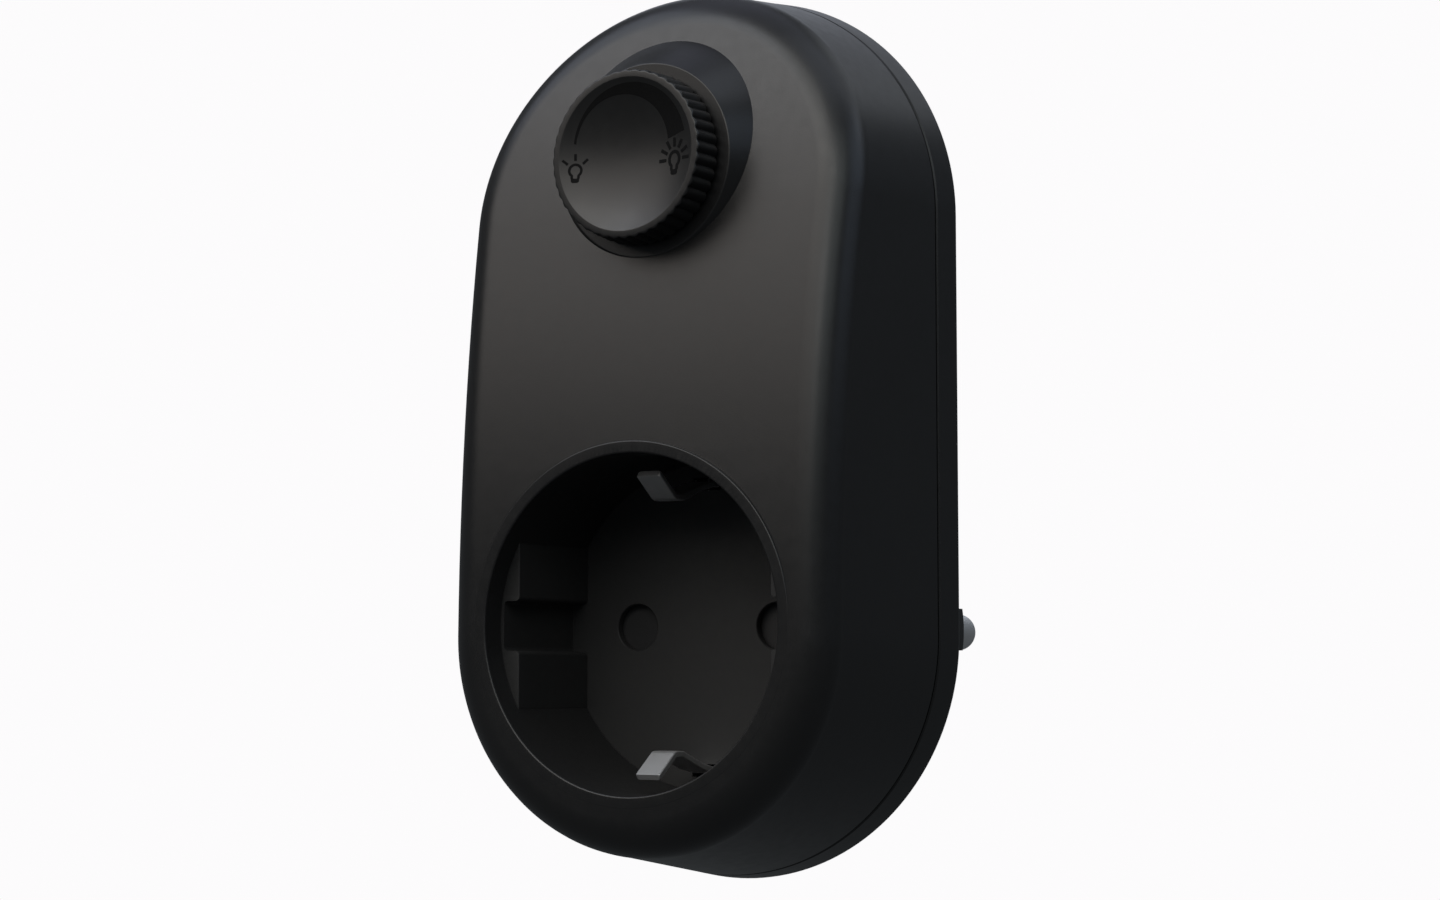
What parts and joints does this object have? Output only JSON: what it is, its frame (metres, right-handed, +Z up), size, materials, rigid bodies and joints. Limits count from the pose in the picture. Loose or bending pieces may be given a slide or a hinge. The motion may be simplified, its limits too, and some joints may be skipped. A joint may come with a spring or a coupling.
{
  "type": "plug-in socket dimmer",
  "caption": "Plug-in mains dimmer: round recessed socket with earth clips and a shutter on the front, turning knob above, round-pin plug on the back.",
  "frame": {"origin": "centre of the plug's end face, the flat face that the two pins stand out of", "axes": "+Z up along the long side, +Y from the plug's end face towards the wall along the pins, so the front with the socket and the knob faces -Y; +X to the right as seen from the front"},
  "size_m": [0.0576, 0.0708, 0.1066],
  "materials": {
    "case_plastic": "fine matt moulded, black",
    "knob_plastic": "satin moulded, black",
    "inner_plastic": "plain moulded, black",
    "insulator": "plain moulded, off-white",
    "contact_metal": "nickel plated, satin",
    "spring_steel": "bright drawn wire and turned screws",
    "contact_brass": "stamped sheet",
    "copper_wire": "enamelled copper",
    "ferrite": "coated powder core",
    "board": "solder-masked glass epoxy",
    "capacitor_case": "potted plastic box",
    "can_sleeve": "shrink sleeve over an aluminium can",
    "sink_metal": "plain sheet",
    "component_black": "moulded epoxy",
    "varistor_coat": "dipped epoxy",
    "fuse_case": "moulded, dark brown",
    "resistor_coat": "lacquered",
    "pot_laminate": "paper laminate",
    "wire_blue": "wire insulation",
    "wire_brown": "wire insulation",
    "wire_black": "wire insulation"
  },
  "bodies": {
    "housing": {"front_shell": "case_plastic", "rear_cover": "case_plastic", "case_screw_1": "spring_steel", "case_screw_2": "spring_steel", "case_screw_3": "spring_steel", "case_screw_4": "spring_steel", "board_screw_1": "spring_steel", "board_screw_2": "spring_steel", "live_pin": "contact_metal", "neutral_pin": "contact_metal", "live_contact": "contact_brass", "neutral_contact": "contact_brass", "contact_carrier": "insulator", "earth_strip_upper": "contact_metal", "earth_strip_lower": "contact_metal", "earth_link": "contact_metal", "shutter_retainer": "inner_plastic", "shutter_spring": "spring_steel", "pot_housing": "spring_steel", "pot_base": "pot_laminate", "circuit_board": "board", "choke_core": "ferrite", "choke_winding": "copper_wire", "film_capacitor": "capacitor_case", "electrolytic_capacitor": "can_sleeve", "heat_sink": "sink_metal", "triac": "component_black", "varistor": "varistor_coat", "fuse": "fuse_case", "control_chip": "component_black", "resistor_1": "resistor_coat", "resistor_2": "resistor_coat", "neutral_wire": "wire_blue", "live_wire_in": "wire_brown", "live_wire_out": "wire_black"},
    "knob_and_shaft": {"knob": "knob_plastic", "pot_shaft": "insulator"},
    "shutter_slider": {"shutter": "inner_plastic"}
  },
  "joints": [
    {"name": "knob_turn", "type": "hinge", "parent": "housing", "child": "knob_and_shaft", "pos_m": [0, -0.0478, 0.0532], "axis": [0, 1, 0], "range_deg": [-140, 140]},
    {"name": "shutter_slide", "type": "slide", "parent": "housing", "child": "shutter_slider", "axis": [0, 0, -1], "range_m": [0, 0.0066], "stiffness_N_per_m": 150, "springref_m": -0.004, "deforming": ["shutter_spring"]}
  ]
}
